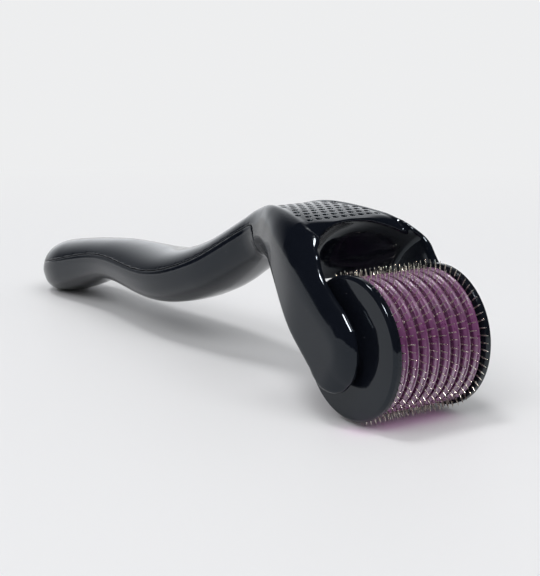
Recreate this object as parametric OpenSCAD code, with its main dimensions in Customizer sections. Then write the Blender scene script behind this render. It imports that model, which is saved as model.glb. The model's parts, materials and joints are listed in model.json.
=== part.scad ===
// Derma roller: an S-shaped moulded handle with a two-armed fork, and a roller of
// needle discs and spacer rings that turns freely on a pin between the arms.
// Millimetres. X runs along the roller's axle, the roller faces -Y, the handle runs
// to +Y, and Z is up. The part stands on its needle tips and on the pad under the tail.

/* [Roller] */
// Radius at the needle tips
tip_r = 12.7; // [11:0.1:15.5]
// How far the needles stand out of the spacer rings
needle_out = 1.3; // [0.5:0.1:2]
// Needles on each disc
needle_count = 60; // [24:4:72]
// Width of one needle at its root
needle_w = 0.34; // [0.25:0.01:0.42]
// Number of needle discs
disc_count = 9; // [5:1:9]
// Thickness of a needle disc
disc_t = 0.3; // [0.2:0.02:0.4]
// Width of a spacer ring
ring_w = 1.85; // [1.5:0.05:2.3]
// Width of the groove that each ring leaves beside a disc
groove_w = 0.22; // [0.1:0.02:0.3]
// Depth of that groove
groove_d = 1.4; // [1:0.1:2]
// Width of the raised edge on a ring
ring_lip_w = 0.3; // [0.2:0.05:0.4]
// Height of the raised edge on a ring
ring_lip_h = 0.18; // [0.1:0.02:0.3]

/* [Caps and core] */
// How far an end cap stands above the spacer rings
cap_proud = 0.65; // [0.4:0.05:0.9]
// Thickness of an end cap at its rim
cap_t = 1.45; // [1.2:0.05:2]
// Chamfer on the cap's outer edge
cap_chamfer = 0.4; // [0.2:0.05:0.6]
// Radius of the boss that keeps the cap off the arm
cap_boss_r = 3.4; // [2.8:0.1:4.5]
// Radius of the core under the discs
core_r = 5.4; // [4.6:0.1:6.4]
// Width of the core's key
key_w = 1.6; // [1.2:0.1:2]
// Height of the core's key
key_h = 0.9; // [0.6:0.1:1.2]
// Radius of the cap's spigot
spigot_r = 3.4; // [2.9:0.1:3.8]
// Length of the cap's spigot
spigot_len = 3; // [2:0.25:3.75]

/* [Axle] */
// Radius of the axle pin
pin_r = 1.5; // [1.2:0.05:1.8]
// Depth of the pin's blind hole in each arm
pin_seat = 2.1; // [1.6:0.1:2.4]
// Radial clearance between the pin and what turns on it
run_clear = 0.05; // [0.02:0.01:0.1]
// Radial interference of the pin in the arms
pin_press = 0.01; // [0.005:0.005:0.02]
// Clearance between pieces that seat in each other
seat_clear = 0.04; // [0.02:0.01:0.1]

/* [Fork] */
// Gap between an end cap and the arm beside it
side_gap = 0.85; // [0.6:0.05:1.2]
// Thickness of an arm
arm_t = 3.5; // [2.9:0.1:4.5]
// Radius of the round end of an arm
arm_end_r = 6.9; // [5.8:0.1:8.3]
// Room between the needle tips and the wheel well
well_gap = 7.8; // [6.5:0.1:9]
// Thickness of the web at the rim of the well
rim_t = 0.9; // [0.7:0.1:1.6]
// Angle of the rim above the axle, seen from the side
rim_angle = 61; // [58:1:64]
// Height of the crest above the rim
crest_rise = 0.8; // [0.4:0.1:1.5]
// Distance from the rim back to the crest
crest_back = 13; // [11:0.5:15]
// Radius of the fork's shoulders, seen from the front
shoulder_r = 10.5; // [8:0.1:11]
// Depth of the valley between the two crests
valley_depth = 0.9; // [0.4:0.1:1.2]
// Radius across the valley
valley_r = 26; // [20:1:40]
// Thickness of the web behind the well
web_t = 2.6; // [2:0.1:3.5]
// Height of the web's lower edge above the axle
web_foot_rise = 7.8; // [7:0.1:9]

/* [Handle] */
// Distance from the crest back to the neck
crest_to_neck = 15; // [13:0.5:18]
// Distance from the neck back to the belly
neck_to_belly = 33; // [27:0.5:40]
// Distance from the belly back to the waist
belly_to_waist = 27; // [22:0.5:33]
// Distance from the waist back to the tail's pad
waist_to_pad = 26; // [21.5:0.5:31.5]
// Distance from the pad to the end of the tail
pad_to_end = 5.6; // [4.6:0.1:6.8]
// Drop from the crest to the middle of the neck
neck_drop = 7.4; // [6:0.1:9]
// Height of the belly's middle above the floor
belly_z = 12.2; // [10:0.1:14.5]
// Height of the waist's middle above the floor
waist_z = 11.3; // [9.5:0.1:13]
// Length over which the tail's plan narrows to its end
tail_taper = 14.5; // [12:0.5:17.5]
// Depth of the flat that the tail's underside rests on
pad_flat = 0.3; // [0.2:0.05:0.6]
// Width of the neck
neck_w = 13; // [11:0.1:15.5]
// Width of the belly
belly_w = 18.4; // [16:0.1:22]
// Width of the waist
waist_w = 14.4; // [12:0.1:17.3]
// Width of the tail
tail_w = 16.6; // [13.8:0.1:20]
// Thickness of the neck
neck_t = 9.6; // [8.5:0.1:11.5]
// Thickness of the belly
belly_t = 11.2; // [9.5:0.1:13]
// Thickness of the waist
waist_t = 9.2; // [7.6:0.1:11.1]
// Thickness of the tail
tail_t = 12.4; // [10.3:0.1:14.9]
// Wall of the two shells
wall = 1.7; // [1.4:0.1:2]

/* [Handle fastening] */
// Distance from the neck forward to the lip where the lower shell ends
lip_len = 5; // [4:0.5:6]
// Radius of a snap peg
peg_r = 1.1; // [0.9:0.05:1.35]
// Length of a peg above the parting line
peg_len = 2.6; // [2.2:0.1:3]
// Wall around a peg's socket
boss_wall = 1; // [0.8:0.1:1.2]

/* [Hidden] */

// Roller sizes that follow from the driving ones
ring_r = tip_r - needle_out;
disc_r = ring_r - groove_d;
cap_r = ring_r + cap_proud;
pitch = disc_t + ring_w;
stack_w = disc_count * disc_t + (disc_count - 1) * ring_w;
stack_half = stack_w / 2;
cap_face = stack_half + cap_t;
axle_z = tip_r;

// Fork sizes
arm_in = cap_face + side_gap;
arm_out = arm_in + arm_t;
well_r = tip_r + well_gap;
rim_y = well_r * cos(rim_angle);
rim_z = axle_z + well_r * sin(rim_angle);
crest_y = rim_y + crest_back;
crest_z = rim_z + rim_t + crest_rise;
foot_z = axle_z + web_foot_rise;
foot_y = sqrt(well_r * well_r - web_foot_rise * web_foot_rise) + web_t;
pin_half = arm_in + pin_seat;
pin_end_gap = 0.2;

// Places along the handle, measured from the axle
neck_y = crest_y + crest_to_neck;
lip_y = neck_y - lip_len;
belly_y = neck_y + neck_to_belly;
waist_y = belly_y + belly_to_waist;
pad_y = waist_y + waist_to_pad;
tail_y = pad_y + pad_to_end;
taper_y = tail_y - tail_taper;
neck_z = crest_z - neck_drop;
tail_z = tail_t / 2 - pad_flat;

// The origin is on the floor under the middle of the whole part
origin_y = (tail_y - tip_r) / 2;

// Stations of the handle: place, height, half width and half thickness
stations = [
    [crest_y, crest_z - 0.75 * neck_drop, neck_w / 2, 0.44 * neck_t],
    [lip_y, neck_z + 0.15 * neck_drop, neck_w / 2, 0.45 * neck_t],
    [neck_y, neck_z, neck_w / 2, neck_t / 2],
    [(neck_y + belly_y) / 2, (neck_z + 2 * belly_z) / 3 + 0.6, 0.46 * belly_w, 0.47 * belly_t],
    [belly_y, belly_z, belly_w / 2, belly_t / 2],
    [waist_y, waist_z, waist_w / 2, waist_t / 2],
    [pad_y, tail_z, tail_w / 2, tail_t / 2],
    [tail_y, 0.95 * tail_z, 0.46 * tail_w, 0.45 * tail_t]
];

ring_step = 4.2;
section_power = 2.3;
outer_points = 14;
inner_points = 9;
nose_rings = 7;
nose_last = 84;

// Height, width and thickness at any place are smooth curves through the stations
function slope(k, c) =
    let (a = max(0, k - 1), b = min(len(stations) - 1, k + 1))
    (stations[b][c] - stations[a][c]) / (stations[b][0] - stations[a][0]);

function segment(y, k = 0) =
    k >= len(stations) - 2 || y < stations[k + 1][0] ? k : segment(y, k + 1);

function along(y, c) =
    let (
        k = segment(y),
        h = stations[k + 1][0] - stations[k][0],
        u = (y - stations[k][0]) / h
    )
    (2 * u * u * u - 3 * u * u + 1) * stations[k][c]
    + (u * u * u - 2 * u * u + u) * h * slope(k, c)
    + (3 * u * u - 2 * u * u * u) * stations[k + 1][c]
    + (u * u * u - u * u) * h * slope(k + 1, c);

// How wide and how thick the section is at a place: 1 along the handle, less at the tail
function end_angle(y, from) = y <= from ? 0 : asin(min(1, (y - from) / (tail_y - from) * sin(nose_last)));
function breadth(y) = cos(end_angle(y, taper_y));
function depth(y) = pow(cos(end_angle(y, pad_y)), 0.62);

function power(v, p) = sign(v) * pow(abs(v), p);

// One half section: side is 1 above the parting line and -1 below it; inset is the wall
function half_section(y, side, inset, points, sink) =
    let (
        w = along(y, 2) * breadth(y) - inset,
        t = along(y, 3) * depth(y) - inset,
        z = along(y, 1)
    )
    [
        for (i = [0 : points])
            let (a = 180 * i / points, drop = (i == 0 || i == points) ? sink : 0)
            [
                w * power(cos(a), 2 / section_power),
                y,
                z + side * (t * power(sin(a), 2 / section_power) - drop)
            ]
    ];

function places(from, to) =
    let (n = ceil((to - from) / ring_step))
    [for (i = [0 : n]) from + (to - from) * i / n];

function nose_places() = [
    for (i = [1 : nose_rings]) pad_y + pad_to_end * sin(nose_last * i / nose_rings) / sin(nose_last)
];

// Both shells have their sections at the same places, so that they meet face to face
shell_places = concat(places(lip_y, pad_y), nose_places());
// Length of the upper shell's root inside the fork
root_len = 1.5;

// A closed solid through half sections at the given places
module half_loft(rings_at, side, inset, points, sink) {
    n = points + 1;
    last = len(rings_at) - 1;
    vertices = [for (y = rings_at) each half_section(y, side, inset, points, sink)];
    skin = [
        for (r = [0 : last - 1], i = [0 : points])
            let (a = r * n + i, b = r * n + (i + 1) % n)
            each [[a, b, b + n], [a, b + n, a + n]]
    ];
    start = [for (i = [n - 1 : -1 : 0]) i];
    end = [for (i = [0 : n - 1]) last * n + i];
    outward = concat(skin, [start, end]);
    mirrored = [for (f = outward) [for (i = [len(f) - 1 : -1 : 0]) f[i]]];
    polyhedron(points = vertices, faces = side > 0 ? outward : mirrored, convexity = 6);
}

function arc(centre, r, from, to, n) = [
    for (i = [0 : n])
        let (a = from + (to - from) * i / n)
        centre + r * [cos(a), sin(a)]
];

// Points of an arm's edges, front and back, measured from the axle
arm_front = [[6.4, 15.2], [5.2, 12.4], [2, 9.4], [-1.7, 6.8]];
arm_back = [[11.2, 1.5], [15.8, 5.8]];
panel_setback = 3;
crest_sag = 0.3;

module at_axle() {
    translate([0, -origin_y, axle_z]) rotate([0, 90, 0]) children();
}

module at_origin() {
    translate([0, -origin_y, 0]) children();
}

// Side outline of the fork: crest, arm, round arm end, web foot and neck
module fork_side() {
    lip_zc = along(lip_y, 1);
    lip_t = along(lip_y, 3);
    panel_y = rim_y + panel_setback;
    points = concat(
        [
            [lip_y, lip_zc + lip_t],
            [(lip_y + crest_y) / 2, crest_z - crest_sag],
            [crest_y, crest_z],
            [(crest_y + panel_y) / 2, crest_z - crest_sag / 2],
            [panel_y, crest_z - crest_rise / 2],
            [rim_y, rim_z + rim_t]
        ],
        [for (p = arm_front) [p[0], axle_z + p[1]]],
        arc([0, axle_z], arm_end_r, 142, 325, 24),
        [for (p = arm_back) [p[0], axle_z + p[1]]],
        [
            [foot_y, foot_z],
            [foot_y + 5, foot_z + 1],
            [lip_y, lip_zc - lip_t]
        ]
    );
    polygon(points);
}

// Plan outline of the fork: full width at the arms, drawn in to the neck
module fork_plan() {
    front = -arm_end_r - 1;
    shoulder_y = 4;
    steps = 12;
    narrow = along(lip_y, 2);
    half = [
        for (i = [0 : steps])
            let (y = shoulder_y + (lip_y - shoulder_y) * i / steps)
            [narrow + (arm_out - narrow) * (0.5 + 0.5 * cos(180 * pow(i / steps, 1.25))), y]
    ];
    left = [for (i = [steps : -1 : 0]) [-half[i][0], half[i][1]]];
    polygon(concat([[arm_out, front]], half, left, [[-arm_out, front]]));
}

// Front outline of the fork: straight arms and round shoulders
module fork_front() {
    right = arc([arm_out - shoulder_r, crest_z - shoulder_r], shoulder_r, 0, 90, 14);
    left = [for (i = [len(right) - 1 : -1 : 0]) [-right[i][0], right[i][1]]];
    polygon(concat([[arm_out, 0]], right, left, [[-arm_out, 0]]));
}

// The fork's blank is what its side, plan and front outlines have in common
module fork_blank() {
    intersection() {
        translate([-arm_out, 0, 0])
            rotate([90, 0, 90]) linear_extrude(2 * arm_out) fork_side();
        linear_extrude(crest_z + 1) fork_plan();
        translate([0, 2 * lip_y, 0])
            rotate([90, 0, 0]) linear_extrude(3 * lip_y) fork_front();
    }
}

// The wheel well: a ball round the roller, and the space in front of the web's rim,
// between the inner faces of the arms
module wheel_well() {
    intersection() {
        union() {
            translate([0, 0, axle_z]) sphere(r = well_r, $fn = 96);
            translate([-arm_in, rim_y - 2 * well_r, axle_z])
                cube([2 * arm_in, 2 * well_r, 2 * well_r]);
        }
        translate([-arm_in, -2 * well_r, -well_r]) cube([2 * arm_in, 4 * well_r, 4 * well_r]);
    }
}

// The valley between the two crests
module valley() {
    reach = 26;
    translate([0, rim_y - 2, crest_z - valley_depth + valley_r])
        rotate([-90, 0, 0]) cylinder(r = valley_r, h = reach, $fn = 96);
}

module pin_seats() {
    for (side = [-1, 1])
        translate([side * (arm_in + (pin_seat + pin_end_gap) / 2), 0, axle_z])
            rotate([0, 90, 0])
                cylinder(r = pin_r - pin_press, h = pin_seat + pin_end_gap, center = true, $fn = 48);
}

// Pegs stand at three places along the handle
peg_places = [belly_y + 3, waist_y - 3, pad_y - 8];
cavity_from = neck_y + 7;
cavity_to = pad_y - 1;
peg_air = 0.5;

module cavity(side) {
    half_loft(places(cavity_from, cavity_to), side, wall, inner_points, 0.6);
}

module upper_bosses() {
    for (y = peg_places)
        let (z = along(y, 1), t = along(y, 3))
        translate([0, y, z + peg_air])
            cylinder(r = peg_r + seat_clear + boss_wall, h = t - wall / 2 - peg_air, $fn = 40);
}

module upper_sockets() {
    for (y = peg_places)
        translate([0, y, along(y, 1)])
            cylinder(r = peg_r + seat_clear, h = peg_len + peg_air, $fn = 40);
}

module lower_pegs() {
    for (y = peg_places)
        let (z = along(y, 1), t = along(y, 3)) {
            translate([0, y, z - t + wall / 2])
                cylinder(r = peg_r + boss_wall, h = t - wall / 2 - peg_air, $fn = 40);
            translate([0, y, z - t + wall / 2])
                cylinder(r = peg_r, h = t - wall / 2 + peg_len, $fn = 40);
        }
}

module handle_upper_shell() {
    color("#16191f") at_origin() difference() {
        union() {
            difference() {
                half_loft(concat([lip_y - root_len], shell_places), 1, 0, outer_points, 0);
                cavity(1);
            }
            upper_bosses();
            difference() {
                fork_blank();
                wheel_well();
                valley();
            }
        }
        pin_seats();
        upper_sockets();
    }
}

module handle_lower_shell() {
    floor_depth = 5;
    color("#1b1e25") at_origin() difference() {
        union() {
            difference() {
                half_loft(shell_places, -1, 0, outer_points, 0);
                cavity(-1);
            }
            lower_pegs();
        }
        translate([-tail_w, waist_y, -floor_depth])
            cube([2 * tail_w, 2 * waist_to_pad, floor_depth]);
    }
}

module axle_pin() {
    color("#b9bdc2") at_axle()
        cylinder(r = pin_r, h = 2 * pin_half, center = true, $fn = 48);
}

// The core's key runs the whole length of the stack
module core_outline(clear) {
    circle(r = core_r + clear, $fn = 72);
    translate([core_r - key_h, -key_w / 2 - clear])
        square([2 * key_h + clear, key_w + 2 * clear]);
}

module roller_core() {
    spigot_hole = spigot_len + 2 * seat_clear;
    color("#2a2d33") at_axle() difference() {
        linear_extrude(stack_w, center = true) core_outline(0);
        cylinder(r = pin_r + run_clear, h = 2 * stack_w, center = true, $fn = 48);
        for (side = [-1, 1])
            translate([0, 0, side * (stack_half - spigot_hole / 2)])
                cylinder(r = spigot_r + seat_clear, h = spigot_hole + 0.001, center = true, $fn = 60);
    }
}

// A cap: chamfered flange, boss towards the arm, spigot into the core
module end_cap() {
    boss_h = 0.6 * side_gap;
    color("#0e1116") difference() {
        rotate_extrude($fn = 120)
            polygon([
                [0, -spigot_len],
                [spigot_r, -spigot_len],
                [spigot_r, 0],
                [cap_r, 0],
                [cap_r, cap_t - cap_chamfer],
                [cap_r - cap_chamfer, cap_t],
                [cap_boss_r, cap_t],
                [cap_boss_r, cap_t + boss_h],
                [0, cap_t + boss_h]
            ]);
        cylinder(r = pin_r + run_clear, h = 4 * (spigot_len + cap_t), center = true, $fn = 48);
    }
}

module right_end_cap() {
    at_axle() translate([0, 0, stack_half]) end_cap();
}

module left_end_cap() {
    at_axle() mirror([0, 0, 1]) translate([0, 0, stack_half]) end_cap();
}

// A disc's outline: every needle rises from the disc's edge to a point
module needle_outline() {
    root = needle_w / 2 / disc_r * 180 / PI;
    shank_r = tip_r - 0.75;
    shank = 0.3 * needle_w / shank_r * 180 / PI;
    point = 0.1 * shank;
    steps = [[-root, disc_r], [-shank, shank_r], [-point, tip_r], [point, tip_r], [shank, shank_r], [root, disc_r]];
    polygon([
        for (i = [0 : needle_count - 1], s = steps)
            let (a = 360 * i / needle_count + s[0])
            s[1] * [cos(a), sin(a)]
    ]);
}

module needle_disc(i) {
    color("#c9c6bd") at_axle()
        translate([0, 0, (i - 1) * pitch - stack_half])
            linear_extrude(disc_t) difference() {
                needle_outline();
                core_outline(seat_clear);
            }
}

// A ring: a shallow channel with raised edges, cut back beside the needles
module spacer_ring(i) {
    color("#8c3f86") at_axle()
        translate([0, 0, (i - 1) * pitch - stack_half + disc_t]) difference() {
            rotate_extrude($fn = 120)
                polygon([
                    [core_r / 2, 0],
                    [disc_r, 0],
                    [disc_r, groove_w],
                    [ring_r, groove_w],
                    [ring_r, groove_w + ring_lip_w],
                    [ring_r - ring_lip_h, groove_w + 2 * ring_lip_w],
                    [ring_r - ring_lip_h, ring_w - groove_w - 2 * ring_lip_w],
                    [ring_r, ring_w - groove_w - ring_lip_w],
                    [ring_r, ring_w - groove_w],
                    [disc_r, ring_w - groove_w],
                    [disc_r, ring_w],
                    [core_r / 2, ring_w]
                ]);
            translate([0, 0, -ring_w]) linear_extrude(3 * ring_w) core_outline(seat_clear);
        }
}

handle_upper_shell();
handle_lower_shell();
axle_pin();
roller_core();
left_end_cap();
right_end_cap();
for (i = [1 : disc_count])
    needle_disc(i);
for (i = [1 : disc_count - 1])
    spacer_ring(i);
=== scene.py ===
"""Looks of the derma roller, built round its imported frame. The pieces are worked out in
millimetres, with y counted from the roller's axle, until mesh_object() puts them in the frame in
metres. The studio at the end is in metres."""

import json
import math

import bmesh
import bpy
import numpy as np
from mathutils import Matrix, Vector


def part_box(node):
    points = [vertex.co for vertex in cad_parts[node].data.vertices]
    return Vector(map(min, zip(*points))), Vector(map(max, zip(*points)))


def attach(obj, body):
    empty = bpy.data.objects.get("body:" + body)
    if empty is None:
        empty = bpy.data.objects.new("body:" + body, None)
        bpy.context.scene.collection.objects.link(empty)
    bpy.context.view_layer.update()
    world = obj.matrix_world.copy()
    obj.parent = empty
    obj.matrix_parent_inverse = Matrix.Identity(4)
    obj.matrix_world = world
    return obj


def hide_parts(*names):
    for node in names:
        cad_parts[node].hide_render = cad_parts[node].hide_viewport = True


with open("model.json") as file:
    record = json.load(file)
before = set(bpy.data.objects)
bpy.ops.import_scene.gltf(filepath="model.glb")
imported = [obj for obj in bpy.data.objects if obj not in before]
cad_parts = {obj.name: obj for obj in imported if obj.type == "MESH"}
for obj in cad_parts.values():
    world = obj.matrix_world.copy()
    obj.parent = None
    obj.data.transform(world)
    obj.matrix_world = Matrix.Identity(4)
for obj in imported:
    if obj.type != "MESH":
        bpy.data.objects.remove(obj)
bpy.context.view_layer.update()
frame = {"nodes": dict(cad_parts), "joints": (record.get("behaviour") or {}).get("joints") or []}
MM = 0.001


def radius_of(node):
    """Radius of a round node of the roller, from the height of its box."""
    low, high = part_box(node)
    return (high.z - low.z) / 2 / MM


# ---------------------------------------------------------------- places from the frame
AXLE = Vector(frame["joints"][0]["pos_m"])
AXLE_Z = AXLE.z / MM
CAP_R = radius_of("right_end_cap")
RING_R = radius_of("spacer_ring_1")
TIP_R = radius_of("needle_disc_1")
DISCS = sorted(n for n in frame["nodes"] if n.startswith("needle_disc_"))
RINGS = sorted(n for n in frame["nodes"] if n.startswith("spacer_ring_"))
SHELL_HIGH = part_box("handle_upper_shell")[1]
ARM_OUT = SHELL_HIGH.x / MM
TAIL_Y = (SHELL_HIGH.y - AXLE.y) / MM
LIP_Y = (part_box("handle_lower_shell")[0].y - AXLE.y) / MM
STACK_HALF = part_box("needle_disc_9")[1].x / MM


# ---------------------------------------------------------------- small field helpers
def smooth_max(a, b, k):
    """The larger of two fields, rounded over a band of width k where they cross."""
    h = np.maximum(k - np.abs(a - b), 0.0)
    return np.maximum(a, b) + h * h / (4 * k)


def ramp(v, low, high):
    """0 below low, 1 above high, and an even slope without corners between them."""
    u = np.clip((v - low) / (high - low), 0.0, 1.0)
    return u * u * (3 - 2 * u)


def hermite(stations, v, column):
    """A smooth curve through one column of a station list, as the CAD model draws it."""
    at = np.array([s[0] for s in stations], float)
    val = np.array([s[column] for s in stations], float)
    slope = np.empty_like(val)
    slope[1:-1] = (val[2:] - val[:-2]) / (at[2:] - at[:-2])
    slope[0] = (val[1] - val[0]) / (at[1] - at[0])
    slope[-1] = (val[-1] - val[-2]) / (at[-1] - at[-2])
    v = np.clip(v, at[0], at[-1])
    k = np.clip(np.searchsorted(at, v, side="right") - 1, 0, len(at) - 2)
    h = at[k + 1] - at[k]
    u = (v - at[k]) / h
    return (
        (2 * u**3 - 3 * u**2 + 1) * val[k]
        + (u**3 - 2 * u**2 + u) * h * slope[k]
        + (3 * u**2 - 2 * u**3) * val[k + 1]
        + (u**3 - u**2) * h * slope[k + 1]
    )


def arc(centre, r, start, end, n):
    angles = [math.radians(start + (end - start) * i / n) for i in range(n + 1)]
    return [(centre[0] + r * math.cos(a), centre[1] + r * math.sin(a)) for a in angles]


def outline_field(points, u, v):
    """Signed distance to a closed outline in a plane, negative inside."""
    far = None
    inside = np.zeros(np.broadcast(u, v).shape, bool)
    for (ax, ay), (bx, by) in zip(points, points[1:] + points[:1]):
        ex, ey = bx - ax, by - ay
        wx, wy = u - ax, v - ay
        t = np.clip((wx * ex + wy * ey) / (ex * ex + ey * ey), 0.0, 1.0)
        d2 = (wx - ex * t) ** 2 + (wy - ey * t) ** 2
        far = d2 if far is None else np.minimum(far, d2)
        crosses = ((ay > v) != (by > v)) & (u < (bx - ax) * (v - ay) / (by - ay + 1e-12) + ax)
        inside ^= crosses
    return np.where(inside, -1.0, 1.0) * np.sqrt(far)


class Outline:
    """Signed distance to a flat outline, kept as a fine table so that it can be read anywhere."""

    STEP = 0.12

    def __init__(self, points, low, high):
        self.low = low
        nu = int((high[0] - low[0]) / self.STEP) + 2
        nv = int((high[1] - low[1]) / self.STEP) + 2
        u = low[0] + self.STEP * np.arange(nu)[:, None]
        v = low[1] + self.STEP * np.arange(nv)[None, :]
        self.table = outline_field(points, u, v)

    def __call__(self, u, v):
        nu, nv = self.table.shape
        a = np.clip((u - self.low[0]) / self.STEP, 0, nu - 1.001)
        b = np.clip((v - self.low[1]) / self.STEP, 0, nv - 1.001)
        i, j = a.astype(int), b.astype(int)
        a, b = a - i, b - j
        t = self.table
        return (1 - a) * ((1 - b) * t[i, j] + b * t[i, j + 1]) + a * (
            (1 - b) * t[i + 1, j] + b * t[i + 1, j + 1]
        )


def round_max(a, b, ra, rb):
    """Where fields a and b meet, an elliptical edge: ra deep in a and rb deep in b."""
    u = np.maximum(1 + a / ra, 1e-6)
    v = np.maximum(1 + b / rb, 1e-6)
    r = np.sqrt(u * u + v * v)
    return (r - 1) * r / np.sqrt((u / ra) ** 2 + (v / rb) ** 2)


# ---------------------------------------------------------------- sizes of the handle and fork
# The well over the roller, and its rim where it meets the fork's front
WELL_R = TIP_R + 7.8
RIM_ANGLE = math.radians(61)
RIM_Y = WELL_R * math.cos(RIM_ANGLE)
RIM_Z = AXLE_Z + WELL_R * math.sin(RIM_ANGLE)

# Places along the handle, from the fork's crest to the start of the rounded tail
CREST_Y = RIM_Y + 13
NECK_Y = CREST_Y + 15
BELLY_Y = NECK_Y + 33
WAIST_Y = BELLY_Y + 27
PAD_LEN = 7.5
PAD_Y = TAIL_Y - PAD_LEN
TAPER_LEN = 14.5
TAPER_Y = TAIL_Y - TAPER_LEN

# Heights of the handle's middle there, but for the crest, which is the top
CREST_Z = RIM_Z + 1.7
NECK_Z = CREST_Z - 7.4
BELLY_Z = 12.2
WAIST_Z = 11.3
TAIL_Z = 5.9

# The arms: thickness, round end, how far it reaches forward, and the foot of the back edge
ARM_T = 3.5
ARM_IN = ARM_OUT - ARM_T
ARM_END_R = 6.9
ARM_NOSE = 5.3
FOOT_UP = 7.8
FOOT_Z = AXLE_Z + FOOT_UP
FOOT_Y = math.sqrt(WELL_R**2 - FOOT_UP**2) + 2.6

# Place along the handle, height of its middle, half width and half thickness
NECK_HALF = 6.5
STATIONS = [
    (CREST_Y, CREST_Z - 5.55, NECK_HALF, 4.22),
    (LIP_Y, NECK_Z + 1.95, NECK_HALF, 4.45),
    (NECK_Y, NECK_Z + 0.25, NECK_HALF, 5.05),
    ((NECK_Y + BELLY_Y) / 2, (NECK_Z + 2 * BELLY_Z) / 3 + 0.4, 8.46, 5.4),
    (BELLY_Y, BELLY_Z, 9.2, 5.6),
    (WAIST_Y, WAIST_Z, 7.2, 4.6),
    (PAD_Y, TAIL_Z, 8.3, 6.2),
    (TAIL_Y, 0.76 * TAIL_Z, 7.64, 4.5),
]
OUTLINE_STEP = 1.6
NOSE = math.sin(math.radians(84))
TAIL_REACH = 1.5

# The handle's section: how square it is above and below the parting line, and how far and how
# soon its flanks are drawn in below that line
TOP_POWER = 2.25
FLANK_POWER = 3.0
FLANK_TUCK = 0.12
TUCK_START = 0.12

# Points of an arm's edges, front and back, from the axle
ARM_FRONT = [(6.4, 15.2), (5.2, 12.4), (2.0, 9.4), (-1.7, 6.8)]
ARM_BACK = [(11.8, 1.0), (16.8, 5.6)]

# Place along the fork and its half width there
PLAN = [
    (0, ARM_OUT),
    (8, ARM_OUT - 0.1),
    (14, 13.4),
    (20, 11.7),
    (26, 9.5),
    (32, 7.5),
    (38, NECK_HALF),
    (60, NECK_HALF),
]

# The fork's front edge: how far it rounds off across the arm and down its front, and how far
# this rounding stands out
EDGE_ACROSS = 3.3
EDGE_DOWN = 12.0
EDGE_OUT = 0.55

# The fork's back edge: its rounding at the arms, and what the neck adds to it
REAR_ACROSS = 0.7
REAR_DOWN = 0.9
NECK_ADDS_ACROSS = 3.4
NECK_ADDS_DOWN = 4.8
REAR_BLEND = 0.5

# An arm's outer face: how far in it lies, where it starts behind the front edge, how much later
# it starts higher up, and its slope
FACET_IN = 0.3
FACET_START = 4.4
FACET_START_HIGH = 3.0
FACET_SLOPE = 0.04
FACET_BLEND = 0.25

# The shoulders' rounding, the height of its top over the crest, and its fall towards the roller
SHOULDER_R = 10.5
SHOULDER_UP = 0.7
SHOULDER_FRONT = 15
SHOULDER_FALL = 0.16
SHOULDER_BLEND = 1.2

# The crests: how far out they run at RIDGE_Y, how fast they close in, and their least and most
RIDGE_Y = 12
RIDGE_OUT = 10
RIDGE_FALL = 0.26
RIDGE_MIN = 2.5
RIDGE_MAX = 9.8

# The dark facet between the well and the panel: which way it faces, where, and its half width
CROWN = (0.097, -0.51, 0.855)
CROWN_AT = 20.7
CROWN_HALF = 9.6
CROWN_CORNER = 0.8
CROWN_BLEND = 0.35

# The well's top: from where to where it changes, how much narrower, how much further out
WELL_TOP_LOW = AXLE_Z + 9
WELL_TOP_HIGH = AXLE_Z + 17
WELL_NARROW = 0.76
WELL_RISE = 2.0
WELL_CORNER = 0.5

# How blunt the well's edge is, and how much more it is along the arms' fronts
RIM_BLUNT = 0.7
FRONT_BLUNT = 1.5
FLOOR_BLEND = 0.3

# The pitted panel between the crests
PANEL_DEEP = 0.28
PANEL_END = 36
PANEL_FRONT = 13.2
PANEL_BACK = 34.5
PANEL_LOW = 24.0
PANEL_HALF = 9.6
PIT_START = 15.0
PIT_ROW = 1.75
PIT_LAST_ROW = 10
PIT_GAP = 1.8
PIT_ACROSS = 0.58
PIT_ALONG = 0.5
PIT_DEEP = 0.4

# The parting line: its width, the rounding of its edges, how high it runs and the lip's corner
SEAM = 0.05
SEAM_EDGE = 0.14
SEAM_UP = 1.7
LIP_CORNER = 3.5


# ---------------------------------------------------------------- the handle's field
def middle(y):
    return hermite(STATIONS, y, 1)


def half_width(y):
    return hermite(STATIONS, y, 2)


def half_thickness(y):
    return hermite(STATIONS, y, 3)


def end_round(y, start, power):
    """1 along the handle, falling to a tenth at the end of the tail when power is 1."""
    s = np.clip((y - start) / (TAIL_Y - start), 0.0, 1.0) * NOSE
    return np.sqrt(1 - s * s) ** power


def reach(y):
    """The rounded end drawn out a little, to make up for its soft edges."""
    return y + TAIL_REACH * np.clip((y - TAPER_Y) / (TAIL_Y - TAPER_Y), 0.0, 1.0)


def places_along(start, length, count):
    """Places along the handle: even ones, then closer ones over the round end from start on."""
    quarter = np.linspace(0, math.pi / 2, count)
    return np.concatenate([np.arange(CREST_Y, start, OUTLINE_STEP), start + length * np.sin(quarter)])


def handle_side():
    """The handle's outline seen from the side."""
    along = places_along(PAD_Y, PAD_LEN, 14)
    z = middle(along)
    t = half_thickness(along) * end_round(along, PAD_Y, 0.62)
    along = reach(along)
    points = list(zip(along, z + t)) + list(zip(along[::-1], (z - t)[::-1]))
    return Outline(points, (LIP_Y - 12, -4.0), (TAIL_Y + 4, CREST_Z + 6))


def handle_plan():
    """The handle's outline seen from above."""
    along = places_along(TAPER_Y, TAPER_LEN, 24)
    w = half_width(along) * end_round(along, TAPER_Y, 1.0)
    along = reach(along)
    points = list(zip(w, along)) + list(zip(-w[::-1], along[::-1]))
    return Outline(points, (-1.0, LIP_Y - 12), (ARM_OUT + 3, TAIL_Y + 4))


HANDLE_SIDE = handle_side()
HANDLE_PLAN = handle_plan()


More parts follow.
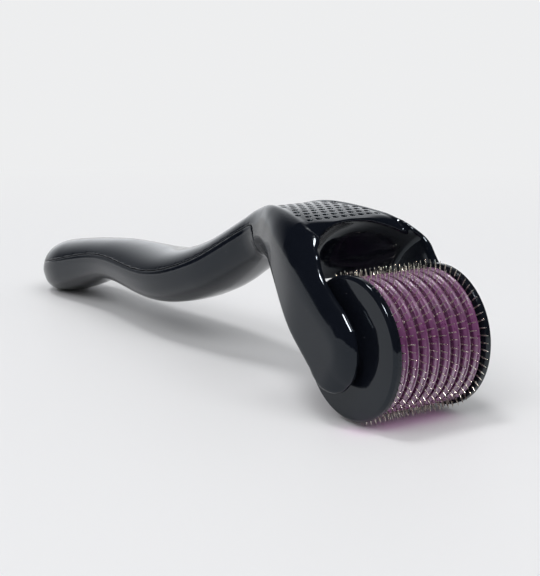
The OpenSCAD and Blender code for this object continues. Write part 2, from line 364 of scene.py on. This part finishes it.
def handle_field(x, y, z):
    """The handle: crowned above its parting line, flat flanks drawn in below it."""
    w, t = half_width(y), half_thickness(y)
    below = np.clip((middle(y) - z) / t, 0.0, 1.0)
    tuck = FLANK_TUCK * below * below / (below + TUCK_START)
    power = TOP_POWER + (FLANK_POWER - TOP_POWER) * ramp(below, 0.0, 0.5)
    u = np.maximum(1 + HANDLE_PLAN(x, y) / w + tuck, 0.0)
    v = np.maximum(1 + HANDLE_SIDE(y, z) / t, 0.0)
    level = (u**power + v**power + 1e-9) ** (1 / power) - 1
    return level * np.minimum(w, t)


# ---------------------------------------------------------------- the fork's field
def smooth_chain(points, passes):
    """Corner cutting: a chain of points becomes a smooth curve near it."""
    for _ in range(passes):
        cut = [points[0]]
        for (ax, ay), (bx, by) in zip(points, points[1:]):
            cut.append((0.75 * ax + 0.25 * bx, 0.75 * ay + 0.25 * by))
            cut.append((0.25 * ax + 0.75 * bx, 0.25 * ay + 0.75 * by))
        points = cut + [points[-1]]
    return points


def edge_near_lip(side):
    """Points of the handle's top (side 1) or lower edge (side -1), from far behind the lip to it."""
    along = [LIP_Y + d for d in (14, 10, 6, 3)]
    return [(y, float(middle(y) + side * half_thickness(y))) for y in along]


def arm_end():
    """The arm's round end from its front over the bottom to its back, shorter at the front."""
    return [
        (y * (ARM_NOSE / ARM_END_R if y < 0 else 1.0), z)
        for y, z in arc((0, AXLE_Z), ARM_END_R, 142, 325, 30)
    ]


def fork_table(points):
    """The outline of one side of the fork, read anywhere near the fork."""
    return Outline(points, (-ARM_END_R - 3, 0.0), (LIP_Y + 10, CREST_Z + 3))


def fork_front():
    """Outline of what lies behind the fork's front and under its top, seen from the side."""
    lip_top = float(middle(LIP_Y)) + float(half_thickness(LIP_Y))
    points = edge_near_lip(1) + [
        (LIP_Y, lip_top + 0.3),
        ((LIP_Y + CREST_Y) / 2, CREST_Z + 0.5),
        (CREST_Y, CREST_Z + 0.6),
        ((CREST_Y + RIM_Y + 3) / 2, CREST_Z + 0.1),
        (RIM_Y + 3, CREST_Z - 0.7),
        (RIM_Y + 0.3, RIM_Z + 0.6),
    ]
    points += [(y, AXLE_Z + z) for y, z in ARM_FRONT]
    points = smooth_chain(points, 2) + arm_end()[:16]
    end_y, end_z = points[-1]
    return fork_table(points + [(end_y + 8, end_z - 14), (LIP_Y + 14, end_z - 14)])


def fork_back():
    """Outline of what lies before the fork's back and over its lower edge, seen from the side."""
    lip_low = float(middle(LIP_Y)) - float(half_thickness(LIP_Y))
    points = [(y, AXLE_Z + z) for y, z in ARM_BACK] + [(FOOT_Y, FOOT_Z), (FOOT_Y + 5, FOOT_Z + 1)]
    points = smooth_chain(points + [(LIP_Y, lip_low)] + edge_near_lip(-1)[::-1], 2)
    points = arm_end()[15:] + points[1:]
    before, low, high = points[0][0] - 14, points[0][1] - 2, CREST_Z + 12
    return fork_table([(before, low), *points, (LIP_Y + 14, high), (before, high)])


FORK_FRONT = fork_front()
FORK_BACK = fork_back()


def plan_half(y):
    """Half width of the fork from above: full at the arms, drawn in to the neck."""
    return hermite(PLAN, y, 1)


def ridge_x(y):
    """How far out each crest runs: close together at the neck, apart at the arms."""
    return np.clip(RIDGE_OUT - RIDGE_FALL * (y - RIDGE_Y), RIDGE_MIN, RIDGE_MAX)


def arm_facet(x, z, front):
    """The nearly flat outer face of an arm, behind the rounding of its front edge."""
    start = FACET_START + FACET_START_HIGH * ramp(z, 10, 22)
    return x - (ARM_OUT - FACET_IN) + FACET_SLOPE * np.maximum(-front - start, -2.0)


def shoulder_dome(x, y, z):
    """The big rounding of the shoulders, whose top falls towards the roller."""
    top = CREST_Z + SHOULDER_UP - SHOULDER_FALL * np.maximum(SHOULDER_FRONT - y, 0.0)
    return round_max(x - ARM_OUT, z - top, SHOULDER_R, SHOULDER_R)


def fork_field(x, y, z):
    """The fork before its well is cut: one tube-edged arm on each side and a domed saddle."""
    front, back = FORK_FRONT(y, z), FORK_BACK(y, z)
    slope = plan_half(y + 0.5) - plan_half(y - 0.5)
    plan = (x - plan_half(y)) / np.sqrt(1 + slope * slope)
    tube = round_max(plan - EDGE_OUT, front, EDGE_ACROSS, EDGE_DOWN)
    neckward = ramp(y, 14, 27)
    rear_across = REAR_ACROSS + NECK_ADDS_ACROSS * neckward
    rear_down = REAR_DOWN + NECK_ADDS_DOWN * neckward
    rear = round_max(plan, back, rear_across, rear_down)
    outer = smooth_max(tube, arm_facet(x, z, front), FACET_BLEND)
    outer = smooth_max(outer, shoulder_dome(x, y, z), SHOULDER_BLEND)
    return smooth_max(outer, rear, REAR_BLEND)


def panel_recess(x, y):
    """How far the panel between the crests lies below them."""
    between = ramp(ridge_x(y) - x, -0.3, 1.3)
    along = ramp(y, RIM_Y, RIM_Y + 2) * ramp(PANEL_END - y, 0, 6)
    return PANEL_DEEP * between * along


def crown_cut(x, y, z):
    """Positive over the dark facet, where the fork is cut away."""
    over = CROWN[0] * x + CROWN[1] * y + CROWN[2] * z - CROWN_AT
    return -smooth_max(-over, x - CROWN_HALF, CROWN_CORNER)


def well_field(x, y, z):
    """The space round the roller between the arms: a ball, with a narrower and taller top."""
    up = ramp(z, WELL_TOP_LOW, WELL_TOP_HIGH)
    across = (1 + WELL_NARROW * up) * x * x
    ball = np.sqrt(across + y * y + (z - AXLE_Z) ** 2) - WELL_R - WELL_RISE * up
    return smooth_max(ball, x - ARM_IN, WELL_CORNER)


def body_field(x, y, z):
    """The whole handle with its fork, standing on the floor."""
    fork = fork_field(x, y, z) + panel_recess(x, y)
    fork = smooth_max(fork, crown_cut(x, y, z), CROWN_BLEND)
    share = ramp(y, LIP_Y - 2, LIP_Y + 9)
    whole = fork * (1 - share) + handle_field(x, y, z) * share
    blunt = RIM_BLUNT + FRONT_BLUNT * ramp(FORK_FRONT(y, z), -6, -1) * ramp(29 - z, 0, 6)
    whole = smooth_max(whole, -well_field(x, y, z), blunt)
    return smooth_max(whole, -z, FLOOR_BLEND)


def lower_zone(y, z):
    """Negative where the lower shell is: behind the lip and under the parting line."""
    return smooth_max(LIP_Y - y, z - middle(y) - SEAM_UP, LIP_CORNER)


def upper_shell_field(x, y, z):
    return smooth_max(body_field(x, y, z), SEAM / 2 - lower_zone(y, z), SEAM_EDGE)


def lower_shell_field(x, y, z):
    return smooth_max(body_field(x, y, z), lower_zone(y, z) + SEAM / 2, SEAM_EDGE)


# ---------------------------------------------------------------- fields to meshes
def gradient(field, p, h=0.02):
    """The field's slope at each point, along x, y and z."""
    g = np.empty_like(p)
    for k in range(3):
        step = np.zeros(3)
        step[k] = h
        a, b = p + step, p - step
        ahead = field(np.abs(a[:, 0]), a[:, 1], a[:, 2])
        behind = field(np.abs(b[:, 0]), b[:, 1], b[:, 2])
        g[:, k] = (ahead - behind) / (2 * h)
    return g


def settle(field, points, rounds=3, limit=0.15):
    """Moves points along the field's slope until they lie on its surface."""
    for _ in range(rounds):
        value = field(np.abs(points[:, 0]), points[:, 1], points[:, 2])
        slope = gradient(field, points)
        step = slope * (value / np.maximum((slope**2).sum(1), 0.05))[:, None]
        size = np.linalg.norm(step, axis=1, keepdims=True)
        points = points - step * np.minimum(1.0, limit / np.maximum(size, 1e-9))
    return points


def edge_ends(axis, across=slice(None)):
    """Which grid points are the first and the second end of every grid edge along an axis."""
    first, second = [across] * 3, [across] * 3
    first[axis], second[axis] = slice(None, -1), slice(1, None)
    return tuple(first), tuple(second)


def edge_places(grid, axis, share, step):
    """Where each edge along an axis meets the surface: one array for each coordinate."""
    places = []
    for k in range(3):
        shape = [1, 1, 1]
        shape[k] = -1
        line = grid[k][:-1] if k == axis else grid[k]
        place = np.broadcast_to(line.reshape(shape), share.shape)
        places.append(place + share * step if k == axis else place)
    return places


def edges_of_cells(axis, cells):
    """The four edges along an axis that border each grid cell, as index ranges."""
    others = [k for k in range(3) if k != axis]
    for offsets in ((0, 0), (0, 1), (1, 0), (1, 1)):
        pick = [slice(None)] * 3
        for k, d in zip(others, offsets):
            pick[k] = slice(d, cells[k] + d)
        yield tuple(pick)


def sum_crossings(value, grid, step):
    """For each grid cell, the sum and the count of the places where its edges meet the surface."""
    cells = [s - 1 for s in value.shape]
    total, count = np.zeros(cells + [3]), np.zeros(cells)
    inside = value < 0
    for axis in range(3):
        first, second = edge_ends(axis)
        change = value[first] - value[second]
        cross = inside[first] != inside[second]
        share = np.where(cross, value[first] / np.where(cross, change, 1.0), 0.0)
        places = edge_places(grid, axis, share, step)
        for pick in edges_of_cells(axis, cells):
            count += cross[pick]
            for k in range(3):
                total[..., k] += np.where(cross[pick], places[k][pick], 0.0)
    return total, count


def join_cells(inside, number):
    """A quad of cell points round every inner grid edge that meets the surface, facing outward."""
    quads = []
    for axis in range(3):
        others = [(axis + 1) % 3, (axis + 2) % 3]
        first, second = (inside[ends] for ends in edge_ends(axis, slice(1, -1)))
        cell = np.argwhere(first != second)
        outward = first[tuple(cell.T)]
        cell[:, others] += 1
        ring = []
        for offsets in ((0, 0), (-1, 0), (-1, -1), (0, -1)):
            corner = cell.copy()
            corner[:, others] += offsets
            ring.append(number[tuple(corner.T)])
        ring = np.stack(ring, 1)
        quads.append(np.where(outward[:, None], ring, ring[:, ::-1]))
    return np.concatenate(quads)


def surface_net(field, low, high, step):
    """Vertices and quads of a field's surface. The field is the same on both sides of x = 0."""
    half = np.arange(0.5 * step, high[0] + step, step)
    ys = np.arange(low[1], high[1] + step, step)
    zs = np.arange(low[2], high[2] + step, step)
    right = field(half[:, None, None], ys[None, :, None], zs[None, None, :])
    value = np.concatenate([right[::-1], right])
    grid = (np.concatenate([-half[::-1], half]), ys, zs)
    total, count = sum_crossings(value, grid, step)
    cells = tuple(np.argwhere(count > 0).T)
    number = np.full(count.shape, -1)
    number[cells] = np.arange(len(cells[0]))
    return total[cells] / count[cells][:, None], join_cells(value < 0, number)


def mesh_object(name, points, faces):
    """A mesh object from millimetre points with y counted from the axle."""
    mesh = bpy.data.meshes.new(name)
    p = (np.asarray(points, float) + [0.0, AXLE.y / MM, 0.0]) * MM
    faces = np.asarray(faces)
    if faces.ndim == 2:
        n, size = faces.shape
        mesh.vertices.add(len(p))
        mesh.vertices.foreach_set("co", p.ravel())
        mesh.loops.add(n * size)
        mesh.loops.foreach_set("vertex_index", faces.ravel().astype(np.int32))
        mesh.polygons.add(n)
        mesh.polygons.foreach_set("loop_start", np.arange(0, n * size, size, dtype=np.int32))
    else:
        mesh.from_pydata([tuple(v) for v in p], [], [tuple(f) for f in faces])
    mesh.update(calc_edges=True)
    mesh.validate()
    mesh.polygons.foreach_set("use_smooth", np.full(len(mesh.polygons), True))
    obj = bpy.data.objects.new(name, mesh)
    bpy.context.scene.collection.objects.link(obj)
    return obj


# ---------------------------------------------------------------- the two shells
def pit_depth(x, y):
    """Staggered rows of short pits over the panel between the two crests."""
    row = np.round((y - PIT_START) / PIT_ROW)
    row_y = PIT_START + row * PIT_ROW
    shift = 0.5 * (row % 2)
    pit_x = (np.round(x / PIT_GAP - shift) + shift) * PIT_GAP
    away = ((x - pit_x) / PIT_ACROSS) ** 2 + ((y - row_y) / PIT_ALONG) ** 2
    inside = (np.abs(pit_x) < ridge_x(row_y) - 1.0) & (row >= 0) & (row <= PIT_LAST_ROW)
    return np.where(inside, PIT_DEEP * np.clip(1.05 - away, 0.0, 1.0), 0.0)


def on_panel(x, y, z):
    return PANEL_FRONT < y < PANEL_BACK and z > PANEL_LOW and abs(x) < PANEL_HALF


def press_pits(obj):
    """Refine the panel on top of the fork and press its pits in."""
    mesh = bmesh.new()
    mesh.from_mesh(obj.data)
    edges = set()
    for face in mesh.faces:
        x, y, z = face.calc_center_median() / MM
        if on_panel(x, y - AXLE.y / MM, z) and face.normal.z > 0.75:
            edges.update(face.edges)
    cuts = 2
    bmesh.ops.subdivide_edges(mesh, edges=list(edges), cuts=cuts, use_grid_fill=True)
    for v in mesh.verts:
        x, y, z = v.co / MM
        if z > PANEL_LOW and abs(x) < PANEL_HALF:
            v.co.z -= MM * float(pit_depth(x, y - AXLE.y / MM)) * max(v.normal.z, 0.0)
    mesh.to_mesh(obj.data)
    mesh.free()
    obj.data.polygons.foreach_set("use_smooth", np.full(len(obj.data.polygons), True))


def make_shell(name, field, low, high):
    """One shell of the handle, as a fine net drawn onto its field's surface."""
    step = 0.33
    points, quads = surface_net(field, low, high, step)
    return mesh_object(name, settle(field, points), quads)


def make_shells():
    upper_low, upper_high = (0, -ARM_END_R - 2, -1.0), (ARM_OUT + 1, TAIL_Y + 2, CREST_Z + 2)
    lower_low, lower_high = (0, LIP_Y - 2, -1.0), (12.0, TAIL_Y + 2, CREST_Z - 2)
    upper = make_shell("handle_upper_piece", upper_shell_field, upper_low, upper_high)
    lower = make_shell("handle_lower_piece", lower_shell_field, lower_low, lower_high)
    press_pits(upper)
    return upper, lower


# ---------------------------------------------------------------- the roller
def rounded(points, radius, n=4):
    """A closed outline with its corners turned into small curves."""
    out = []
    count = len(points)
    for i in range(count):
        p, a, b = (Vector(points[j % count]) for j in (i, i - 1, i + 1))
        da, db = a - p, b - p
        r = min(radius, da.length * 0.45, db.length * 0.45)
        start, end = p + da.normalized() * r, p + db.normalized() * r
        for k in range(n + 1):
            t = k / n
            out.append(tuple(start * (1 - t) ** 2 + p * 2 * t * (1 - t) + end * t * t))
    return out


def lathe(profile, segments):
    """Points and quads of a closed outline of (x, radius) turned about the axle."""
    profile = np.array(profile)
    n = len(profile)
    across, out = profile.T
    angle = np.arange(segments) * 2 * math.pi / segments
    x = np.broadcast_to(across, (segments, n))
    y = np.cos(angle)[:, None] * out
    z = AXLE_Z + np.sin(angle)[:, None] * out
    points = np.stack([x, y, z], -1).reshape(-1, 3)
    i, j = np.meshgrid(np.arange(segments), np.arange(n), indexing="ij")
    a, b = i * n + j, i * n + (j + 1) % n
    c, d = (i + 1) % segments * n + (j + 1) % n, (i + 1) % segments * n + j
    quads = np.stack([a, d, c, b], -1).reshape(-1, 4)
    area = 0.5 * np.sum(across * np.roll(out, -1) - np.roll(across, -1) * out)
    return points, quads if area > 0 else quads[:, ::-1]


ROLLER_SEGMENTS = 240
PIN_R = 1.5
CORE_R = 5.4
# Rings and discs sit on the core with this gap, and caps sit on the pin with it
SLIDE_GAP = 0.05

# The caps: flange, spigot into the core, boss towards the arm
CAP_T = 1.45
SPIGOT_R = 3.4
SPIGOT_LEN = 3
BOSS_OUT = 0.45
CAP_CHAMFER = 0.45

# The grooves that each disc's needles stand in, between two rings
RING_GROOVE = 0.32
RING_GROOVE_DEEP = 1.4

# The discs and their needles
NEEDLES = 60
NEEDLE_SIDES = 8
DISC_R = 9.95
NEEDLE_ROOT_R = 9.7
# Radius, half width and half thickness along a needle
NEEDLE = [
    (NEEDLE_ROOT_R, 0.16, 0.11),
    (11.2, 0.13, 0.11),
    (11.9, 0.11, 0.10),
    (12.4, 0.065, 0.06),
    (TIP_R, 0.01, 0.01),
]


def make_cap(name, side):
    """A cap: spigot into the core, flange with a chamfered rim, boss towards the arm."""
    face = STACK_HALF + CAP_T
    end = STACK_HALF - SPIGOT_LEN
    bore = PIN_R + SLIDE_GAP
    spigot = [(end, bore), (end, SPIGOT_R), (STACK_HALF, SPIGOT_R), (STACK_HALF, CAP_R)]
    rim = [(face - CAP_CHAMFER, CAP_R), (face, CAP_R - CAP_CHAMFER), (face - 0.12, 5.6), (face, 3.9)]
    boss = [(face + BOSS_OUT, SPIGOT_R), (face + BOSS_OUT, bore)]
    profile = [(side * x, r) for x, r in rounded(spigot + rim + boss, 0.16)]
    piece = mesh_object(name + "_piece", *lathe(profile, ROLLER_SEGMENTS))
    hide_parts(name)
    return piece


def make_ring(name):
    """A spacer ring: a groove on each side, and one raised lip on its tread."""
    low, high = (v.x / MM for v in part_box(name))
    bore, foot, bed = CORE_R + SLIDE_GAP, RING_R - RING_GROOVE_DEEP, RING_R - 0.16
    start, end = low + RING_GROOVE, high - RING_GROOVE
    left = [(low, bore), (low, foot), (start, foot), (start, bed - 0.06)]
    tread = [(low + 0.6, bed), (high - 0.78, bed), (high - 0.64, RING_R), (end, RING_R)]
    right = [(end, foot), (high, foot), (high, bore)]
    profile = rounded(left + tread + right, 0.09, 3)
    piece = mesh_object(name + "_piece", *lathe(profile, ROLLER_SEGMENTS))
    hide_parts(name)
    return piece


def needle_points(angle, mid, lean):
    """Rings of points along one needle that stands out at an angle about the axle."""
    points = []
    c, d = math.cos(angle), math.sin(angle)
    for r, w, t in NEEDLE:
        for s in range(NEEDLE_SIDES):
            turn = 2 * math.pi * s / NEEDLE_SIDES
            across = w * math.cos(turn)
            along = mid + t * math.sin(turn) + lean * (r - NEEDLE_ROOT_R)
            points.append((along, r * c - across * d, AXLE_Z + r * d + across * c))
    return points


def needle_faces(base):
    """Quads round a needle and a face on each end, for points that start at number base."""
    sides = range(NEEDLE_SIDES)
    faces = []
    for ring in range(len(NEEDLE) - 1):
        for s in sides:
            i = base + ring * NEEDLE_SIDES + s
            j = base + ring * NEEDLE_SIDES + (s + 1) % NEEDLE_SIDES
            faces.append((i, j, j + NEEDLE_SIDES, i + NEEDLE_SIDES))
    top = base + (len(NEEDLE) - 1) * NEEDLE_SIDES
    faces.append(tuple(base + s for s in reversed(sides)))
    faces.append(tuple(top + s for s in sides))
    return faces


def make_disc(name, rng):
    """A thin disc on the core with its needles, which stand a little unevenly."""
    low, high = (v.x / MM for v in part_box(name))
    bore = CORE_R + SLIDE_GAP
    plate = [(low, bore), (low, DISC_R), (high, DISC_R), (high, bore)]
    points, quads = lathe(rounded(plate, 0.05, 2), NEEDLES * 3)
    points, faces = list(points), [tuple(q) for q in quads]
    phase = rng.uniform(0, 1)
    for k in range(NEEDLES):
        angle = 2 * math.pi * (k + phase) / NEEDLES + rng.normal(0, 0.006)
        lean = rng.normal(0, 0.012)
        faces += needle_faces(len(points))
        points += needle_points(angle, (low + high) / 2, lean)
    piece = mesh_object(name + "_piece", points, np.array(faces, dtype=object))
    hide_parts(name)
    return piece


def make_roller():
    """The caps, the rings and the discs, as three lists."""
    rng = np.random.default_rng(7)
    caps = [make_cap(name, side) for name, side in (("left_end_cap", -1), ("right_end_cap", 1))]
    return caps, [make_ring(name) for name in RINGS], [make_disc(name, rng) for name in DISCS]


# ---------------------------------------------------------------- materials
class Nodes:
    """A short way to add and link the nodes of one material."""

    def __init__(self, name):
        self.mat = bpy.data.materials.new(name)
        self.mat.use_nodes = True
        self.tree = self.mat.node_tree
        self.skin = self.tree.nodes["Principled BSDF"]
        self.place = self.add("ShaderNodeTexCoord").outputs["Object"]

    def add(self, kind, **settings):
        node = self.tree.nodes.new(kind)
        for key, value in settings.items():
            setattr(node, key, value)
        return node

    def link(self, out, into):
        self.tree.links.new(out, into)

    def set(self, **values):
        for key, value in values.items():
            self.skin.inputs[key.replace("_", " ")].default_value = value

    def noise(self, scale, detail=4.0, stretch=None):
        node = self.add("ShaderNodeTexNoise")
        node.inputs["Scale"].default_value = scale
        node.inputs["Detail"].default_value = detail
        place = self.place
        if stretch:
            mapping = self.add("ShaderNodeMapping")
            mapping.inputs["Scale"].default_value = stretch
            self.link(place, mapping.inputs["Vector"])
            place = mapping.outputs["Vector"]
        self.link(place, node.inputs["Vector"])
        return node.outputs["Fac"]

    def spread(self, value, low, high, to_low, to_high):
        node = self.add("ShaderNodeMapRange")
        self.link(value, node.inputs["Value"])
        for key, v in (("From Min", low), ("From Max", high), ("To Min", to_low), ("To Max", to_high)):
            node.inputs[key].default_value = v
        return node.outputs["Result"]

    def tint(self, value, colours):
        node = self.add("ShaderNodeValToRGB")
        elements = node.color_ramp.elements
        while len(elements) < len(colours):
            elements.new(0.5)
        for element, (at, colour) in zip(elements, colours):
            element.position = at
            element.color = (*colour, 1)
        self.link(value, node.inputs["Fac"])
        return node.outputs["Color"]

    def bump(self, value, strength, distance):
        node = self.add("ShaderNodeBump")
        node.inputs["Strength"].default_value = strength
        node.inputs["Distance"].default_value = distance
        self.link(value, node.inputs["Height"])
        self.link(node.outputs["Normal"], self.skin.inputs["Normal"])

    def specks(self, scale, size):
        """Small scattered points: dust on a glossy surface."""
        node = self.add("ShaderNodeTexVoronoi")
        node.inputs["Scale"].default_value = scale
        self.link(self.place, node.inputs["Vector"])
        return self.spread(node.outputs["Distance"], size, size * 0.4, 0.0, 1.0)


def black_plastic(name, colour, low_rough, high_rough):
    """Glossy moulded plastic with faint handling marks and a little dust."""
    n = Nodes(name)
    marks = n.noise(90, 5)
    base = n.tint(marks, [(0.35, colour), (0.7, tuple(c * 1.3 for c in colour))])
    mix = n.add("ShaderNodeMix", data_type="RGBA")
    mix.inputs["B"].default_value = (0.16, 0.16, 0.17, 1)
    n.link(n.specks(420, 0.035), mix.inputs["Factor"])
    n.link(base, mix.inputs["A"])
    n.link(mix.outputs["Result"], n.skin.inputs["Base Color"])
    n.link(n.spread(n.noise(260, 6), 0.35, 0.7, low_rough, high_rough), n.skin.inputs["Roughness"])
    n.bump(n.noise(1500, 3), 0.03, 0.0001)
    n.set(IOR=1.49, Specular_IOR_Level=0.37, Specular_Tint=(0.82, 0.92, 1.0, 1))
    return n.mat


def purple_plastic():
    """Purple tinted plastic, a little see-through and a little cloudy."""
    n = Nodes("tinted_purple_plastic")
    n.link(
        n.tint(n.noise(500, 4), [(0.3, (0.115, 0.026, 0.098)), (0.7, (0.195, 0.052, 0.165))]),
        n.skin.inputs["Base Color"],
    )
    n.link(n.spread(n.noise(900, 4), 0.3, 0.7, 0.24, 0.40), n.skin.inputs["Roughness"])
    n.bump(n.noise(1400, 3), 0.12, 0.0001)
    n.set(IOR=1.4, Transmission_Weight=0.3, Specular_IOR_Level=0.32)
    return n.mat


def metal(name, dark, light, rough, stretch):
    """Bare metal with fine streaks in its colour and gloss."""
    n = Nodes(name)
    streaks = n.noise(2200, 4, stretch)
    n.link(n.tint(streaks, [(0.3, dark), (0.75, light)]), n.skin.inputs["Base Color"])
    n.link(n.spread(streaks, 0.3, 0.7, rough, rough + 0.14), n.skin.inputs["Roughness"])
    n.bump(streaks, 0.08, 0.00005)
    n.set(Metallic=1.0)
    return n.mat


def core_plastic():
    """Dull dark plastic, for the sleeve inside the roller."""
    n = Nodes("core_plastic")
    n.link(
        n.tint(n.noise(300, 3), [(0.3, (0.012, 0.010, 0.014)), (0.7, (0.024, 0.018, 0.028))]),
        n.skin.inputs["Base Color"],
    )
    n.link(n.spread(n.noise(800, 3), 0.3, 0.7, 0.35, 0.5), n.skin.inputs["Roughness"])
    n.bump(n.noise(2500, 2), 0.1, 0.0001)
    return n.mat


def dress(objects, material):
    for obj in objects:
        obj.data.materials.clear()
        obj.data.materials.append(material)


# ---------------------------------------------------------------- build the pieces
upper, lower = make_shells()
for shell, node in ((upper, "handle_upper_shell"), (lower, "handle_lower_shell")):
    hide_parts(node)
    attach(shell, "handle")
caps, rings, discs = make_roller()
for piece in caps + rings + discs:
    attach(piece, "roller")
dress([upper, lower], black_plastic("gloss_black_plastic", (0.0040, 0.0050, 0.0080), 0.07, 0.15))
dress(caps, black_plastic("cap_black_plastic", (0.0045, 0.0055, 0.0085), 0.06, 0.12))
dress(rings, purple_plastic())
dress(discs, metal("needle_metal", (0.62, 0.56, 0.47), (0.92, 0.87, 0.78), 0.2, (1, 1, 1)))
frame["nodes"]["axle_pin"].material_slots[0].material = metal(
    "pin_steel", (0.45, 0.46, 0.48), (0.7, 0.71, 0.73), 0.22, (8, 1, 1)
)
frame["nodes"]["roller_core"].material_slots[0].material = core_plastic()


# ---------------------------------------------------------------- studio
def area_light(name, place, target, size, power, colour=(1, 1, 1)):
    data = bpy.data.lights.new(name, "AREA")
    data.shape = "RECTANGLE"
    data.size, data.size_y = size
    data.energy = power
    data.color = colour
    light = bpy.data.objects.new(name, data)
    light.location = place
    light.rotation_euler = (Vector(place) - Vector(target)).to_track_quat("Z", "Y").to_euler()
    bpy.context.scene.collection.objects.link(light)
    return light


def sun(name, toward, power, angle):
    """A broad light that shades the floor and soft surfaces but makes no glints."""
    data = bpy.data.lights.new(name, "SUN")
    data.energy = power
    data.angle = angle
    light = bpy.data.objects.new(name, data)
    light.rotation_euler = Vector(toward).to_track_quat("Z", "Y").to_euler()
    light.visible_glossy = False
    bpy.context.scene.collection.objects.link(light)


FLOOR_R = 60.0
FLOOR_LIT_R = 0.12
FLOOR_GLOW_R = 0.30


def floor_mesh():
    """A flat round sheet of rings of quads, closer together near the part."""
    circles = [0.1, 0.25, 0.6, 2.0, 10.0, FLOOR_R]
    turn = 64
    points, faces = [(0.0, 0.0, 0.0)], []
    for r in circles:
        angles = [2 * math.pi * k / turn for k in range(turn)]
        points += [(r * math.cos(a), r * math.sin(a), 0.0) for a in angles]
    for k in range(turn):
        faces.append((0, 1 + k, 1 + (k + 1) % turn))
        for ring in range(len(circles) - 1):
            a = 1 + ring * turn + k
            b = 1 + ring * turn + (k + 1) % turn
            faces.append((a, a + turn, b + turn, b))
    mesh = bpy.data.meshes.new("floor")
    mesh.from_pydata(points, [], faces)
    return mesh


def floor_material():
    """Pale paint near the part, turning into an even glow further out."""
    n = Nodes("pale_floor")
    n.set(Base_Color=(0.80, 0.80, 0.81, 1), Roughness=0.55, IOR=1.35)
    length = n.add("ShaderNodeVectorMath", operation="LENGTH")
    n.link(n.place, length.inputs[0])
    far = n.spread(length.outputs["Value"], FLOOR_LIT_R, FLOOR_GLOW_R, 0.0, 1.0)
    glow = n.add("ShaderNodeEmission")
    glow.inputs["Color"].default_value = (0.850, 0.855, 0.862, 1)
    mix = n.add("ShaderNodeMixShader")
    out = n.tree.nodes["Material Output"]
    n.link(far, mix.inputs[0])
    n.link(n.skin.outputs[0], mix.inputs[1])
    n.link(glow.outputs[0], mix.inputs[2])
    n.link(mix.outputs[0], out.inputs["Surface"])
    return n.mat


def make_floor():
    """A wide pale sheet. Near the part it is lit; far away it glows evenly like a lit sweep."""
    floor = bpy.data.objects.new("floor", floor_mesh())
    bpy.context.scene.collection.objects.link(floor)
    dress([floor], floor_material())


def even_light(tree, colour):
    """A world background of one colour."""
    node = tree.nodes.new("ShaderNodeBackground")
    node.inputs["Color"].default_value = (*colour, 1)
    return node


def sweep_light(tree):
    """A world background that is dark but for a pale side, which the plastic reflects."""
    coord = tree.nodes.new("ShaderNodeTexCoord")
    toward = tree.nodes.new("ShaderNodeVectorMath")
    toward.operation = "DOT_PRODUCT"
    toward.inputs[1].default_value = (0.50, 0.78, -0.37)
    shade = tree.nodes.new("ShaderNodeValToRGB")
    dark, light = shade.color_ramp.elements
    dark.position, dark.color = 0.42, (0.012, 0.016, 0.024, 1)
    light.position, light.color = 0.86, (1.15, 1.18, 1.22, 1)
    room = tree.nodes["Background"]
    tree.links.new(coord.outputs["Generated"], toward.inputs[0])
    tree.links.new(toward.outputs["Value"], shade.inputs["Fac"])
    tree.links.new(shade.outputs["Color"], room.inputs["Color"])
    return room


def choose(tree, share, no, yes):
    """One of two backgrounds, by a Light Path output."""
    mix = tree.nodes.new("ShaderNodeMixShader")
    tree.links.new(share, mix.inputs[0])
    tree.links.new(no.outputs[0], mix.inputs[1])
    tree.links.new(yes.outputs[0], mix.inputs[2])
    return mix


def make_world():
    """A dark room with one pale side. The camera sees an even pale backdrop instead, and what
    light the world gives to soft surfaces is even too."""
    world = bpy.data.worlds.new("studio")
    bpy.context.scene.world = world
    world.use_nodes = True
    tree = world.node_tree
    path = tree.nodes.new("ShaderNodeLightPath")
    fill = even_light(tree, (0.41, 0.415, 0.42))
    backdrop = even_light(tree, (0.885, 0.878, 0.885))
    room = choose(tree, path.outputs["Is Diffuse Ray"], sweep_light(tree), fill)
    seen = choose(tree, path.outputs["Is Camera Ray"], room, backdrop)
    tree.links.new(seen.outputs[0], tree.nodes["World Output"].inputs["Surface"])


def make_camera():
    data = bpy.data.cameras.new("camera")
    data.sensor_width = 36
    data.lens = 85.9
    data.clip_start = 0.01
    data.clip_end = 50
    camera = bpy.data.objects.new("camera", data)
    bpy.context.scene.collection.objects.link(camera)
    camera.location = (-0.1409, AXLE.y - 0.1718, 0.0682)
    camera.rotation_euler = Vector((-0.5459, -0.8121, 0.2059)).to_track_quat("Z", "Y").to_euler()
    bpy.context.scene.camera = camera


def make_suns():
    for name, toward, power, angle in (
        ("front_sun", (0.1, -0.8, 1.0), 0.7, 0.6),
        ("left_sun", (-0.9, -0.4, 1.0), 1.0, 0.6),
        ("high_sun", (-0.22, 0.12, 1.0), 0.85, 0.25),
    ):
        sun(name, toward, power, angle)


def make_glints():
    """Lamps that only make glints and don't light the floor or other soft surfaces."""
    head = (0.0, AXLE.y, 0.02)
    for name, place, size, power in (
        ("front_glint", (-0.18, AXLE.y - 0.24, 0.52), (0.14, 0.14), 4.5),
        ("top_glint", (-0.03, AXLE.y + 0.16, 0.60), (0.10, 0.10), 1.8),
    ):
        area_light(name, place, head, size, power).visible_diffuse = False


def make_purple_glow():
    """The light that the purple rings pass on to the floor under the roller."""
    x, y = -0.002, AXLE.y - 0.004
    size, power, colour = (0.020, 0.004), 0.00032, (0.6, 0.08, 0.5)
    glow = area_light("purple_glow", (x, y, 0.003), (x, y, 0.0), size, power, colour)
    glow.visible_camera = False
    glow.visible_glossy = False
    glow.visible_transmission = False


make_floor()
make_world()
make_camera()
bpy.context.scene.view_settings.view_transform = "Standard"
make_suns()
make_glints()
make_purple_glow()
